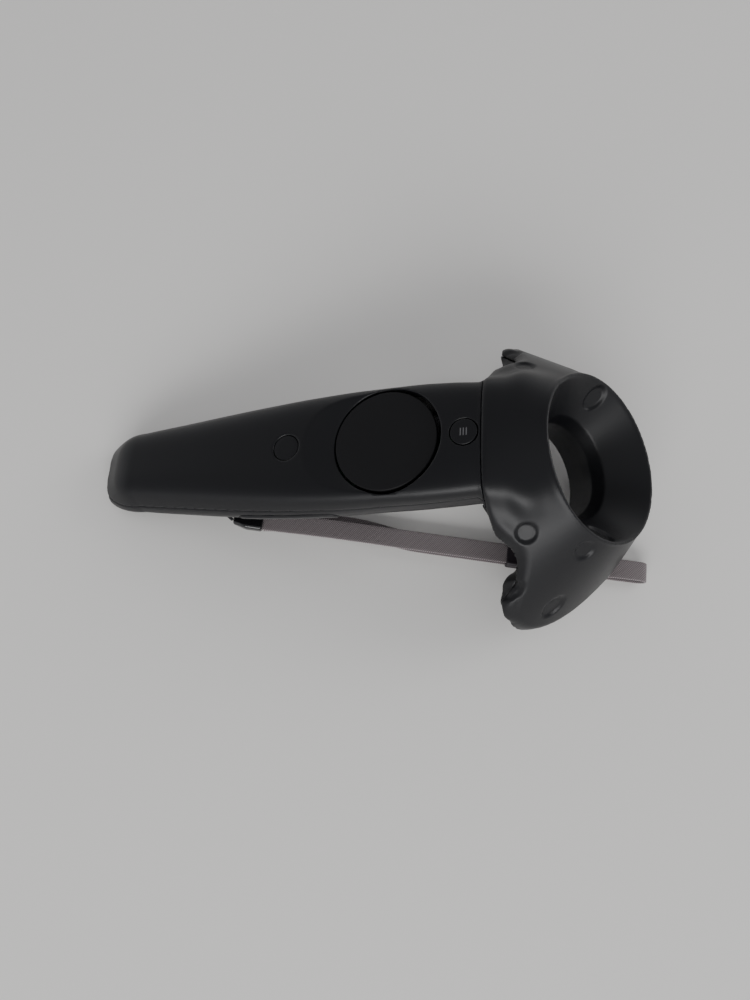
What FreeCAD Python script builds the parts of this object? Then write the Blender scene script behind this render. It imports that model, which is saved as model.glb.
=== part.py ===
"""A hand-held motion controller for virtual reality: a tapering handle with a round touch pad,
and a tilted ring at its head whose two swept wings carry the tracking sensors.

Everything is designed lying flat: X runs along the handle from its tail, Y across it and Z out
of its face, with the face at zero. The ring has a frame of its own, whose origin is the middle
of its rim and whose Z runs backwards through the hole. At the end all of it is pitched nose up,
as it rests on a table on its tail and the far edge of its ring.
"""

import FreeCAD, Part
import Sketcher
import math
import os
import re

from FreeCAD import Placement, Rotation, Vector

doc = FreeCAD.newDocument("vr_motion_controller")
sheet = doc.addObject("Spreadsheet::Sheet", "sizes")

SIZES = {
    # stance: nose-up pitch, how far the tail's end is behind the origin, and how much the doubled
    # strap under the ring holds it off the table
    "rest_pitch": 19.3,
    "tail_back": 110.9,
    "strap_lift": 0.9,
    # shells
    "wall": 2.0,
    "handle_end": 157.4,
    "parting": -8.5,
    "fit_gap": 0.3,
    # ring: place of the rim's middle, the hole axis' elevation, and the section's radii and depths
    "ring_ahead": 195.3,
    "ring_drop": -33.1,
    "ring_tilt": 31.2,
    "lip_radius": 31.6,
    "throat_radius": 18.4,
    "throat_front": 15.0,
    "throat_back": 18.0,
    "back_radius": 21.0,
    "back_depth": 30.5,
    "cone_slope": 0.744,
    "wing_radius": 60.0,
    "wing_depth": 40.0,
    "shell_split": 29.5,
    "far_radius": 36.0,
    # touch pad and the shallow dish that it sits in
    "pad_ahead": 122.4,
    "pad_radius": 19.3,
    "pad_face": -1.7,
    "pad_thick": 1.6,
    "pad_travel": 0.6,
    "dish_ahead": 117.2,
    "dish_radius": 108.0,
    "dish_deep": 3.25,
    # round buttons
    "menu_ahead": 151.4,
    "menu_radius": 4.85,
    "system_ahead": 83.5,
    "system_radius": 5.0,
    "button_face": -0.4,
    "button_thick": 3.0,
    "switch_top": -4.2,
    "switch_thick": 1.2,
    # grip buttons in the handle's flanks
    "grip_ahead": 80.0,
    "grip_long": 42.0,
    "grip_high": 7.0,
    "grip_drop": -15.0,
    "grip_thick": 2.6,
    "grip_proud": 0.5,
    # trigger
    "pivot_ahead": 147.0,
    "pivot_drop": -24.0,
    "pin_radius": 1.2,
    "pin_play": 0.05,
    "hub_radius": 4.0,
    "hub_wide": 10.0,
    "trigger_wide": 18.4,
    "slot_wide": 20.0,
    "slot_back": 125.8,
    "slot_front": 153.6,
    # boards and chassis, as heights in the handle
    "frame_low": -12.9,
    "frame_thick": 0.8,
    "board_low": -11.8,
    "board_thick": 1.0,
    # fasteners
    "screw_radius": 0.95,
    "screw_hole": 1.05,
    "screw_head": 1.8,
    "boss_radius": 2.4,
    # sensors under their dimples
    "sensor_radius": 3.0,
    "sensor_thick": 1.5,
    "dimple_radius": 4.2,
    "dimple_deep": 0.8,
    # wrist strap and its cord
    "cord_radius": 0.65,
    "post_ahead": 22.0,
    "post_radius": 1.2,
    "post_low": 2.2,
    "recess_high": 5.6,
    "strap_wide": 8.0,
    "strap_thick": 0.8,
}

for row, (alias, amount) in enumerate(SIZES.items(), start=1):
    sheet.set(f"A{row}", str(amount))
    sheet.setAlias(f"A{row}", alias)
doc.recompute()


def size(alias):
    return float(sheet.get(alias))


def formula(text):
    """A formula in the sheet's names, such as "wall + 1", written out as FreeCAD wants it."""
    return re.sub(r"[a-z]+_?[a-z_]*", lambda word: "sizes." + word.group(), str(text))


def bind(thing, **formulas):
    """Tie properties to formulas: Length="wall + 1", or Base_x="handle_end" for the placement."""
    for name, text in formulas.items():
        path = name.replace("Base_", "Placement.Base.").replace("Offset_", "AttachmentOffset.Base.")
        thing.setExpression(path, formula(text))


# --- Sketches -------------------------------------------------------------------------------

def draw_outline(sketch, corners):
    """Join the corners, pairs of formulas, into one closed outline that follows the sheet."""
    count = len(corners)
    ring = [
        Vector(math.cos(2 * math.pi * i / count), math.sin(2 * math.pi * i / count), 0)
        for i in range(count)
    ]
    for i in range(count):
        sketch.addGeometry(Part.LineSegment(ring[i], ring[(i + 1) % count]))
    for i in range(count):
        sketch.addConstraint(Sketcher.Constraint("Coincident", i, 1, (i - 1) % count, 2))
    for i, place in enumerate(corners):
        for kind, text in zip(("DistanceX", "DistanceY"), place):
            number = sketch.addConstraint(Sketcher.Constraint(kind, -1, 1, i, 1, 0.5))
            sketch.setExpression(f"Constraints[{number}]", formula(text))


def draw_circles(sketch, circles):
    """Circles, each (x, y, radius) as formulas."""
    for across, along, radius in circles:
        count = sketch.GeometryCount
        i = sketch.addGeometry(Part.Circle(Vector(count, count, 0), Vector(0, 0, 1), 1))
        for kind, text in (("DistanceX", across), ("DistanceY", along)):
            number = sketch.addConstraint(Sketcher.Constraint(kind, -1, 1, i, 3, 0.5))
            sketch.setExpression(f"Constraints[{number}]", formula(text))
        number = sketch.addConstraint(Sketcher.Constraint("Radius", i, 1.0))
        sketch.setExpression(f"Constraints[{number}]", formula(radius))


def rectangle(x_low, x_high, y_low, y_high):
    return [(x_low, y_low), (x_high, y_low), (x_high, y_high), (x_low, y_high)]


# --- Bodies ---------------------------------------------------------------------------------

nodes = []


def keep(thing, label, frame=Placement()):
    """Name a finished sub-part and remember the frame that it was drawn in."""
    thing.Label = label
    nodes.append((thing, frame))
    return thing


def body_sketch(body, plane, height="0"):
    origin_plane = next(f for f in body.Origin.OriginFeatures if f.Role == plane)
    sketch = body.newObject("Sketcher::SketchObject", "outline")
    sketch.AttachmentSupport = [(origin_plane, "")]
    sketch.MapMode = "FlatFace"
    bind(sketch, Offset_z=height)
    return sketch


def pad(body, sketch, thick, both_ways=False):
    feature = body.newObject("PartDesign::Pad", "pad")
    feature.Profile = sketch
    feature.Midplane = both_ways
    bind(feature, Length=thick)
    return feature


def drill(body, circles, low, deep):
    """Round holes upwards from a height; says so if they cut nothing."""
    doc.recompute()
    before = body.Shape.Volume
    sketch = body_sketch(body, "XY_Plane", low)
    draw_circles(sketch, circles)
    feature = body.newObject("PartDesign::Pocket", "holes")
    feature.Profile = sketch
    feature.Reversed = True
    bind(feature, Length=deep)
    doc.recompute()
    assert body.Shape.Volume < before - 0.1, f"{body.Name}: the holes cut nothing"


def slab(label, x_low, x_high, half_wide, low, thick, frame=Placement()):
    """A plate lying in the handle, as wide on both sides of the middle."""
    body = doc.addObject("PartDesign::Body", label)
    sketch = body_sketch(body, "XY_Plane", low)
    draw_outline(sketch, rectangle(x_low, x_high, f"-({half_wide})", half_wide))
    pad(body, sketch, thick)
    return keep(body, label, frame)


def disc(label, ahead, radius, low, thick):
    body = doc.addObject("PartDesign::Body", label)
    sketch = body_sketch(body, "XY_Plane", low)
    draw_circles(sketch, [(ahead, "0", radius)])
    pad(body, sketch, thick)
    return keep(body, label)


def round_edges(body, radius, wanted):
    """Fillet the edges of a body's tip for which wanted(edge) holds."""
    doc.recompute()
    tip = body.Tip
    names = [f"Edge{i}" for i, edge in enumerate(tip.Shape.Edges, start=1) if wanted(edge)]
    feature = body.newObject("PartDesign::Fillet", "rounding")
    feature.Base = (tip, names)
    feature.Radius = radius
    return feature


# --- Solids for boolean work ----------------------------------------------------------------

def primitive(kind, name, placement=None, **formulas):
    thing = doc.addObject(f"Part::{kind}", name)
    if placement is not None:
        thing.Placement = placement
    bind(thing, **formulas)
    return thing


def box(name, x_low, x_high, half_wide, low, high):
    return primitive(
        "Box", name, Length=f"({x_high}) - ({x_low})", Width=f"2 * ({half_wide})",
        Height=f"({high}) - ({low})", Base_x=x_low, Base_y=f"-({half_wide})", Base_z=low,
    )


def post(name, ahead, across, radius, low, high):
    return primitive(
        "Cylinder", name, Radius=radius, Height=f"({high}) - ({low})",
        Base_x=ahead, Base_y=across, Base_z=low,
    )


def combine(kind, name, things):
    """Part::MultiFuse or Part::MultiCommon of several things."""
    result = doc.addObject(f"Part::{kind}", name)
    result.Shapes = things
    return result


def cut(name, base, tool):
    result = doc.addObject("Part::Cut", name)
    result.Base = base
    result.Tool = tool
    return result


def shape_object(name, shape):
    thing = doc.addObject("Part::Feature", name)
    thing.Shape = shape
    return thing


# --- Free-form volumes: the handle and the neck ---------------------------------------------

# Stations along the handle: (x, half width, top, height of the widest line, underside).
HANDLE = [
    (0.4, 6.0, -5.6, -9.5, -13.2),
    (2.0, 8.9, -3.4, -9.4, -14.8),
    (6.0, 12.2, -1.3, -9.3, -16.8),
    (12.0, 14.2, -0.3, -9.2, -19.0),
    (20.0, 15.6, 0.0, -9.1, -20.9),
    (34.0, 17.2, 0.0, -9.0, -23.0),
    (52.0, 19.1, 0.0, -9.0, -24.7),
    (72.0, 20.9, 0.0, -9.0, -26.5),
    (92.0, 22.3, 0.0, -9.0, -28.3),
    (112.0, 22.9, 0.0, -9.0, -30.2),
    (132.0, 22.9, 0.0, -9.0, -31.8),
    (146.0, 23.2, -0.3, -9.0, -32.4),
    (157.4, 24.4, -0.9, -9.4, -32.6),
    (164.0, 25.4, -1.6, -10.0, -32.8),
]
NECK = [
    (150.0, 23.4, -0.5, -9.1, -32.4),
    (157.4, 24.4, -0.9, -9.4, -32.6),
    (163.0, 25.0, -1.7, -11.0, -33.5),
    (170.7, 24.5, -3.7, -14.0, -36.0),
    (178.0, 20.0, -6.8, -19.0, -40.0),
]
FACE_POWER = 3.4
UNDERSIDE_POWER = 2.25
SECTION_POINTS = 28


def section(x, half_wide, top, widest, underside, inset):
    """A rounded cross-section: a flattish arch over the widest line, a deeper bowl below it."""
    points = []
    for i in range(SECTION_POINTS):
        angle = 2 * math.pi * (i + 0.5) / SECTION_POINTS - math.pi / 2
        across, up = math.cos(angle), math.sin(angle)
        power = FACE_POWER if up > 0 else UNDERSIDE_POWER
        reach = (top - inset - widest) if up > 0 else (widest - underside - inset)
        y = math.copysign(abs(across) ** (2 / power), across) * (half_wide - inset)
        z = widest + math.copysign(abs(up) ** (2 / power), up) * reach
        points.append(Vector(x, y, z))
    curve = Part.BSplineCurve()
    curve.interpolate(points, PeriodicFlag=True)
    return Part.Wire([curve.toShape()])


def loft(stations, inset):
    """A solid through the stations, with straight lines between each and the next."""
    return Part.makeLoft([section(*station, inset) for station in stations], True, True)


def handle_volume(name, inset):
    """The whole handle, shrunk by inset all round; its tail end moves in by as much."""
    tail = size("wall") if inset > 0 else 0.0
    stations = [row for row in HANDLE if row[0] > tail]
    return shape_object(name, loft(stations, inset))


# --- The ring's own frame -------------------------------------------------------------------

tilt = math.radians(size("ring_tilt"))
ring_frame = Placement(
    Vector(size("ring_ahead"), 0, size("ring_drop")),
    Rotation(
        Vector(0, -1, 0),
        Vector(-math.sin(tilt), 0, math.cos(tilt)),
        Vector(-math.cos(tilt), 0, -math.sin(tilt)),
        "ZXY",
    ),
)
upright = Placement(Vector(), Rotation(Vector(1, 0, 0), 90))

# The head's outline seen along the hole: one side, from the far edge round to the neck.
WING = [
    ("0", "-far_radius"),
    ("14", "-(far_radius - 1.5)"),
    ("27", "-32"),
    ("35", "-30"),
    ("41", "-25.7"),
    ("49", "-20"),
    ("55", "-13"),
    ("58.3", "-5"),
    ("58.6", "2"),
    ("57", "9"),
    ("53.7", "14.1"),
    ("43.4", "19.9"),
    ("36.5", "25"),
    ("33", "31"),
    ("25", "42"),
    ("0", "52"),
]
# The ring's section, as (radius, depth): lip, cone, wing edge, back and the hole's wall.
RING = [
    ("throat_radius", "throat_front"),
    ("lip_radius - 1.2", "0.5"),
    ("lip_radius", "0"),
    ("lip_radius + 1.0", "0.8"),
    ("wing_radius", "(wing_radius - lip_radius - 0.4) / cone_slope"),
    ("wing_radius", "wing_depth"),
    ("far_radius", "back_depth + 2"),
    ("back_radius", "back_depth"),
    ("throat_radius", "throat_back"),
]


def free_sketch(name, corners, placement):
    sketch = doc.addObject("Sketcher::SketchObject", name)
    sketch.Placement = placement
    draw_outline(sketch, corners)
    return sketch


def shrunk(sketch, amount):
    """The sketch's outline moved inwards, as another outline."""
    offset = doc.addObject("Part::Offset2D", f"{sketch.Name}_inside")
    offset.Source = sketch
    bind(offset, Value=f"-({amount})")
    return offset


def prism(name, outline, deep):
    extrusion = doc.addObject("Part::Extrusion", name)
    extrusion.Base = outline
    extrusion.DirMode = "Custom"
    extrusion.Dir = ring_frame.Rotation.multVec(Vector(0, 0, 1))
    extrusion.Solid = True
    bind(extrusion, LengthFwd=deep)
    return extrusion


def turned(name, outline):
    """The outline turned once about the hole's axis."""
    revolution = doc.addObject("Part::Revolution", name)
    revolution.Source = outline
    revolution.Axis = ring_frame.Rotation.multVec(Vector(0, 0, 1))
    revolution.Base = ring_frame.Base
    revolution.Angle = 360
    revolution.Solid = True
    return revolution


# Sensors on one side, as (across, up, depth, direction out of the surface) in the ring's frame.
CONE_OUT = Vector(0.802, 0, -0.597)
FUNNEL_OUT = Vector(-0.767, 0, -0.642)
BACK_OUT = Vector(-0.15, 0, 0.989)
SIDE_OUT = Vector(1, 0, 0)
FRONT_SENSORS = [
    (35.6, 5.0, 5.6, CONE_OUT),
    (51.2, -3.8, 26.0, CONE_OUT),
    (29.0, 25.5, 8.9, CONE_OUT),
    (27.2, -3.6, 4.2, FUNNEL_OUT),
]
BACK_SENSORS = [
    (28.0, 9.0, 31.5, BACK_OUT),
    (14.0, -25.0, 31.4, BACK_OUT),
    (44.0, -13.0, 35.4, BACK_OUT),
    (47.0, 7.0, 35.9, BACK_OUT),
]


def out_of(across, up, direction):
    """The surface's direction at a point, turned about the hole's axis to where the point is."""
    turn = math.degrees(math.atan2(up, across))
    return Rotation(Vector(0, 0, 1), turn).multVec(direction)


def under_surface(across, up, depth, direction, below):
    """A placement in the design frame, below the surface, with its Z pointing out of it."""
    out = out_of(across, up, direction)
    place = Vector(across, up, depth) - out * below
    return ring_frame.multiply(Placement(place, Rotation(Vector(0, 0, 1), out)))


def both_sides(rows):
    return [(side * across, up, depth, direction)
            for across, up, depth, direction in rows for side in (1, -1)]


def sensor_discs(name, rows, radius, low, high):
    """Discs under the surface from low to high, measured inwards, as one group."""
    discs = []
    for i, row in enumerate(both_sides(rows)):
        one = primitive("Cylinder", f"{name}_{i}", under_surface(*row, high), Radius=radius)
        one.Height = high - low
        discs.append(one)
    return discs


# --- Handle shells --------------------------------------------------------------------------

GRIP_REACH = 30.0
handle_outside = handle_volume("handle_outside", 0.0)
handle_inside = handle_volume("handle_inside", size("wall"))
handle_skin = cut("handle_skin", handle_outside, handle_inside)

upper_half = box("upper_half", "-5", "handle_end", "40", "parting", "10")
lower_half = box("lower_half", "-5", "handle_end", "40", "parting - 50", "parting")

dish = primitive("Sphere", "dish", Radius="dish_radius", Base_x="dish_ahead",
                 Base_z="dish_radius - dish_deep")
dish_floor = cut(
    "dish_floor",
    box("dish_block", "dish_ahead - 30", "dish_ahead + 30", "18", "-(dish_deep + wall)", "0"),
    dish,
)
top_openings = combine("MultiFuse", "top_openings", [
    dish,
    post("pad_opening", "pad_ahead", "0", "pad_radius + fit_gap", "-9", "5"),
    post("menu_opening", "menu_ahead", "0", "menu_radius + fit_gap", "-9", "5"),
    post("system_opening", "system_ahead", "0", "system_radius + fit_gap", "-9", "5"),
    post("light_opening", "system_ahead - 10", "0", "0.9", "-9", "5"),
])
top_solid = combine("MultiFuse", "top_solid", [
    combine("MultiCommon", "top_skin", [handle_skin, upper_half]),
    combine("MultiCommon", "dish_backing", [dish_floor, handle_outside, upper_half]),
])
keep(cut("handle_top_cover", top_solid, top_openings), "handle_top_cover")

SCREWS = [("30", "7"), ("30", "-7"), ("115", "10.5"), ("115", "-10.5")]
bosses = [
    post(f"boss_{i}", ahead, across, "boss_radius", "-40", "frame_low")
    for i, (ahead, across) in enumerate(SCREWS)
]
boss_holes = [
    post(f"boss_hole_{i}", ahead, across, "screw_hole", "-17.2", "frame_low + 1")
    for i, (ahead, across) in enumerate(SCREWS)
]
pitch = size("rest_pitch")
# The strap's recess lies level with the table, so it is drawn turned down against the pitch.
level = Rotation(Vector(0, 1, 0), pitch)
TABLE_UNDER_TAIL = -16.5
table_slope = math.tan(math.radians(pitch))


def over_table(ahead, across, height):
    """A point of the design frame, given by its place along the handle and height off the table."""
    low = TABLE_UNDER_TAIL - ahead * table_slope
    return Vector(ahead, across, low) + level.multVec(Vector(0, 0, height))


def level_box(name, ahead, long, half_wide, low, high):
    thing = doc.addObject("Part::Box", name)
    thing.Length = long
    thing.Width = 2 * half_wide
    thing.Height = high - low
    thing.Placement = Placement(over_table(ahead, -half_wide, low), level)
    return thing


RECESS_LONG, RECESS_HALF = 20.0, 5.0
recess = level_box("recess", 16.6, RECESS_LONG, RECESS_HALF, -3, size("recess_high"))
recess_housing = level_box("recess_housing", 14.8, RECESS_LONG + 1.0, RECESS_HALF + 1.6,
                           -3, size("recess_high") + 1.6)
shell_fillers = combine("MultiCommon", "shell_fillers", [
    combine("MultiFuse", "fillers", [*bosses, recess_housing]), handle_outside, lower_half,
])


def grip_prism(name, side, grow):
    """A long rounded bar across one flank, for the grip button and its opening."""
    half_long = size("grip_long") / 2 + grow
    half_high = size("grip_high") / 2 + grow
    straight = half_long - half_high
    middle = Vector(size("grip_ahead"), 0, size("grip_drop"))
    left, right = middle - Vector(straight, 0, 0), middle + Vector(straight, 0, 0)
    rise = Vector(0, 0, half_high)
    edges = [
        Part.LineSegment(left + rise, right + rise).toShape(),
        Part.Arc(right + rise, right + Vector(half_high, 0, 0), right - rise).toShape(),
        Part.LineSegment(right - rise, left - rise).toShape(),
        Part.Arc(left - rise, left - Vector(half_high, 0, 0), left + rise).toShape(),
    ]
    bar = Part.Face(Part.Wire(edges)).extrude(Vector(0, side * GRIP_REACH, 0))
    return shape_object(name, bar)


bottom_openings = combine("MultiFuse", "bottom_openings", [
    recess,
    *boss_holes,
    box("trigger_slot", "slot_back", "slot_front", "slot_wide / 2", "-60", "-20"),
    box("socket_opening", "-2", "7", "4.3", "-12.9", "-9.4"),
    grip_prism("left_grip_opening", 1, size("fit_gap")),
    grip_prism("right_grip_opening", -1, size("fit_gap")),
])
bottom_solid = combine("MultiFuse", "bottom_solid", [
    combine("MultiCommon", "bottom_skin", [handle_skin, lower_half]), shell_fillers,
])
keep(cut("handle_bottom_shell", bottom_solid, bottom_openings), "handle_bottom_shell")

# --- Grip buttons ---------------------------------------------------------------------------

for side, label in ((1, "left_grip_button"), (-1, "right_grip_button")):
    proud = shape_object(f"{label}_outside", loft(HANDLE, -size("grip_proud")))
    core = shape_object(f"{label}_inside", loft(HANDLE[3:], size("grip_thick")))
    plate = combine("MultiCommon", f"{label}_plate", [grip_prism(f"{label}_bar", side, 0), proud])
    keep(cut(label, plate, core), label)

# --- Head shells ----------------------------------------------------------------------------

wing_outline = [*WING, *[(f"-({across})", up) for across, up in WING[-2:0:-1]]]
depth_start = Placement(Vector(0, 0, -2), Rotation())
outline_sketch = free_sketch("wing_outline", wing_outline, ring_frame.multiply(depth_start))
section_sketch = free_sketch("ring_section", RING, ring_frame.multiply(upright))
HEAD_DEEP = 46.0


def head_volume(name, outline, ring, neck, inset):
    """The ring and wings trimmed to their outline, with the neck grown into them."""
    wings = combine("MultiCommon", f"{name}_wings", [prism(f"{name}_prism", outline, str(HEAD_DEEP)),
                                                     turned(f"{name}_ring", ring)])
    neck_solid = shape_object(f"{name}_neck", loft(neck, inset))
    return combine("MultiFuse", f"{name}_volume", [wings, neck_solid])


hole_section = free_sketch("hole_section", [
    ("0", "-30"), ("lip_radius - 1.2", "-30"), ("lip_radius - 1.2", "0.5"),
    ("throat_radius", "throat_front"), ("throat_radius", "throat_back"),
    ("back_radius", "back_depth"), ("back_radius", "60"), ("0", "60"),
], ring_frame.multiply(upright))
lined_hole_section = free_sketch("lined_hole_section", [
    ("0", "-30"), ("lip_radius + 0.3", "-30"), ("lip_radius + 0.3", "1.8"),
    ("throat_radius + 1.6", "throat_front + 1.3"), ("throat_radius + wall", "throat_back"),
    ("back_radius + wall", "back_depth"), ("back_radius + wall", "60"), ("0", "60"),
], ring_frame.multiply(upright))

rough_outside = head_volume("head_outside", outline_sketch, section_sketch, NECK, 0.0)
rough_inside = head_volume("head_inside", shrunk(outline_sketch, "wall"),
                           shrunk(section_sketch, "wall"), NECK, size("wall"))
behind_seam = box("behind_seam", "handle_end - 60", "handle_end", "40", "-80", "20")
head_outside = cut("head_outside", cut("head_bored", rough_outside, turned("hole", hole_section)),
                   behind_seam)
head_inside = cut("head_inside", rough_inside, turned("lined_hole", lined_hole_section))
head_skin = cut("head_skin", head_outside, head_inside)

back_zone_section = free_sketch("back_zone_section", [
    ("0", "throat_back"), ("throat_radius + wall + 3", "throat_back"),
    ("throat_radius + wall + 3", "shell_split - 2.5"), ("far_radius - 3.5", "shell_split - 2.5"),
    ("far_radius - 3.5", "shell_split"), ("90", "shell_split"), ("90", "70"), ("0", "70"),
], ring_frame.multiply(upright))
back_zone = turned("back_zone", back_zone_section)
dimples = combine("MultiFuse", "dimples", sensor_discs(
    "dimple", FRONT_SENSORS + BACK_SENSORS, "dimple_radius", -3.0, size("dimple_deep")))
dimpled_skin = cut("dimpled_skin", head_skin, dimples)
keep(cut("head_front_shell", dimpled_skin, back_zone), "head_front_shell")
keep(combine("MultiCommon", "head_back_shell", [dimpled_skin, back_zone]), "head_back_shell")

for label, rows in (("front_tracking_sensors", FRONT_SENSORS),
                    ("back_tracking_sensors", BACK_SENSORS)):
    low = size("wall") + 0.45
    group = doc.addObject("Part::Compound", label)
    group.Links = sensor_discs(label, rows, "sensor_radius", low, low + size("sensor_thick"))
    keep(group, label)

# --- Touch pad and buttons ------------------------------------------------------------------

disc("touch_pad", "pad_ahead", "pad_radius", "pad_face - pad_thick", "pad_thick")
disc("touch_pad_board", "pad_ahead", "pad_radius - 2", "pad_face - pad_thick - 0.8", "0.8")
slab("touch_pad_bracket", "pad_ahead - 18", "pad_ahead + 18", "11", "-9.6", "0.8")
disc("touch_pad_switch", "pad_ahead", "3", "-8.8", "3.2")
for name in ("menu", "system"):
    disc(f"{name}_button", f"{name}_ahead", f"{name}_radius",
         "button_face - button_thick", "button_thick")
    disc(f"{name}_switch", f"{name}_ahead", "2.4", "switch_top - switch_thick", "switch_thick")
slab("menu_board", "menu_ahead - 5.5", "menu_ahead + 5.5", "6", "switch_top - 2", "0.8")
slab("system_board", "system_ahead - 13", "system_ahead + 6", "6", "switch_top - 2", "0.8")
disc("status_light_pipe", "system_ahead - 10", "0.8", "switch_top - 1.2", "5.1")

# --- Trigger --------------------------------------------------------------------------------

LEVER = [
    ("131.5", "-28.2"), ("150.6", "-28.2"), ("152.2", "-31"), ("149.8", "-38"), ("145.2", "-44.5"),
    ("139.5", "-49.5"), ("136.6", "-52"), ("134.2", "-51"), ("132.2", "-44"), ("131.2", "-36"),
]
trigger = doc.addObject("PartDesign::Body", "trigger")
lever_sketch = body_sketch(trigger, "XZ_Plane")
draw_outline(lever_sketch, LEVER)
pad(trigger, lever_sketch, "trigger_wide", both_ways=True)
hub_sketch = body_sketch(trigger, "XZ_Plane")
draw_circles(hub_sketch, [("pivot_ahead", "pivot_drop", "hub_radius")])
pad(trigger, hub_sketch, "hub_wide", both_ways=True)
stem_sketch = body_sketch(trigger, "XZ_Plane")
draw_outline(stem_sketch, rectangle("pivot_ahead - 4", "pivot_ahead + 3.4",
                                    "pivot_drop - 5", "pivot_drop - 1"))
pad(trigger, stem_sketch, "hub_wide", both_ways=True)
doc.recompute()
solid_volume = trigger.Shape.Volume
bore_sketch = body_sketch(trigger, "XZ_Plane")
draw_circles(bore_sketch, [("pivot_ahead", "pivot_drop", "pin_radius + pin_play")])
bore = trigger.newObject("PartDesign::Pocket", "bore")
bore.Profile = bore_sketch
bore.Midplane = True
bore.Length = 60
doc.recompute()
assert trigger.Shape.Volume < solid_volume - 10, "the trigger's bore cut nothing"
keep(trigger, "trigger")


def across_pin(label, radius, inner, y_low, y_high):
    """A tube or pin along the trigger's axis."""
    body = doc.addObject("PartDesign::Body", label)
    sketch = body_sketch(body, "XZ_Plane", f"-({y_high})")
    circles = [("pivot_ahead", "pivot_drop", radius)]
    if inner:
        circles.append(("pivot_ahead", "pivot_drop", inner))
    draw_circles(sketch, circles)
    pad(body, sketch, f"({y_high}) - ({y_low})")
    return keep(body, label)


across_pin("trigger_pin", "pin_radius", None, "-11.6", "11.6")
across_pin("trigger_spring", "pin_radius + 1.5", "pin_radius + 0.5", "hub_wide / 2 + 0.4", "8.8")
for side, label in ((1, "left_trigger_cheek"), (-1, "right_trigger_cheek")):
    cheek = doc.addObject("PartDesign::Body", label)
    cheek_sketch = body_sketch(cheek, "XZ_Plane", "-11.6" if side > 0 else "10.0")
    draw_outline(cheek_sketch, rectangle("pivot_ahead - 6", "pivot_ahead + 5",
                                         "pivot_drop - 3.5", "frame_low"))
    draw_circles(cheek_sketch, [("pivot_ahead", "pivot_drop", "pin_radius")])
    pad(cheek, cheek_sketch, "1.6")
    keep(cheek, label)
slab("trigger_magnet", "134.5", "137.5", "1.5", "-28.2", "1.4")
slab("trigger_sensor", "133.5", "138.5", "2.5", "frame_low - 1.5", "1.5")
slab("trigger_switch", "128.0", "132.0", "3", "-23.6", "10.7")

# --- Inside the handle ----------------------------------------------------------------------

screw_circles = [(ahead, across, "screw_hole") for ahead, across in SCREWS]
chassis = slab("mid_frame", "28", "pivot_ahead + 5", "13.2", "frame_low", "frame_thick")
drill(chassis, screw_circles, "frame_low - 1", "5")
board = slab("main_board", "28.5", "118", "13", "board_low", "board_thick")
drill(board, screw_circles, "board_low - 1", "5")
slab("radio_shield", "58", "76", "9", "board_low + board_thick", "1.8")
slab("battery", "36", "84", "10", "frame_low - 5.6", "5.6")
slab("haptic_actuator", "92", "108", "7", "frame_low - 4.5", "4.5")
slab("socket_board", "6.4", "24", "6.5", "-13.4", "0.8")
slab("usb_socket", "1.4", "8.6", "3.8", "-12.6", "2.8")
slab("ribbon_cable", "118.4", "163", "4", "-10.4", "0.3")
slab("head_board", "158.6", "165", "13", "-11.2", "0.8")
for side, label in ((1, "left_grip_switch"), (-1, "right_grip_switch")):
    switch = doc.addObject("PartDesign::Body", label)
    switch_sketch = body_sketch(switch, "XY_Plane", "grip_drop - 1.5")
    near, far = sorted((side * 13.0, side * 16.2))
    draw_outline(switch_sketch, rectangle("grip_ahead - 3", "grip_ahead + 3", near, far))
    pad(switch, switch_sketch, "3")
    keep(switch, label)

screws = []
for i, (ahead, across) in enumerate(SCREWS):
    shank = post(f"shank_{i}", ahead, across, "screw_radius", "-16.9", "board_low + board_thick")
    head = post(f"screw_head_{i}", ahead, across, "screw_head", "board_low + board_thick",
                "board_low + board_thick + 1.1")
    screws.append(combine("MultiFuse", f"screw_{i}", [shank, head]))
screw_group = doc.addObject("Part::Compound", "chassis_screws")
screw_group.Links = screws
keep(screw_group, "chassis_screws")

# --- Inside the head ------------------------------------------------------------------------

flex_section = free_sketch("flex_section", rectangle("27", "32", "11", "11.3"),
                           ring_frame.multiply(upright))
flex = turned("sensor_flex", flex_section)
keep(flex, "sensor_flex")

# --- Wrist strap ----------------------------------------------------------------------------

post_foot = over_table(size("post_ahead"), 0, size("post_low"))
post_frame = Placement(post_foot, level)
stalk = primitive("Cylinder", "stalk", post_frame, Radius="post_radius", Height="recess_high - post_low")
cap = primitive("Cylinder", "cap", post_frame, Radius="post_radius + 1.3")
cap.Height = 0.8
keep(combine("MultiFuse", "lanyard_post", [stalk, cap]), "lanyard_post")

# The strap lies along the table in an upright plane of its own: X along the strap, Z up.
STRAP_AHEAD, STRAP_ACROSS, STRAP_TURN = -58.0, -15.5, -5.0
strap_frame = Placement(Vector(STRAP_AHEAD, STRAP_ACROSS, 0), Rotation(Vector(0, 0, 1), STRAP_TURN))
CRIMP_LONG, CRIMP_HIGH, CRIMP_HALF = 14.0, 4.6, 4.4
SLIDER_AT, SLIDER_LONG, SLIDER_HALF, SLIDER_HIGH = 115.0, 6.5, 4.9, 6.0
LOWER_LAYER, UPPER_LAYER = 1.55, 4.55
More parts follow.
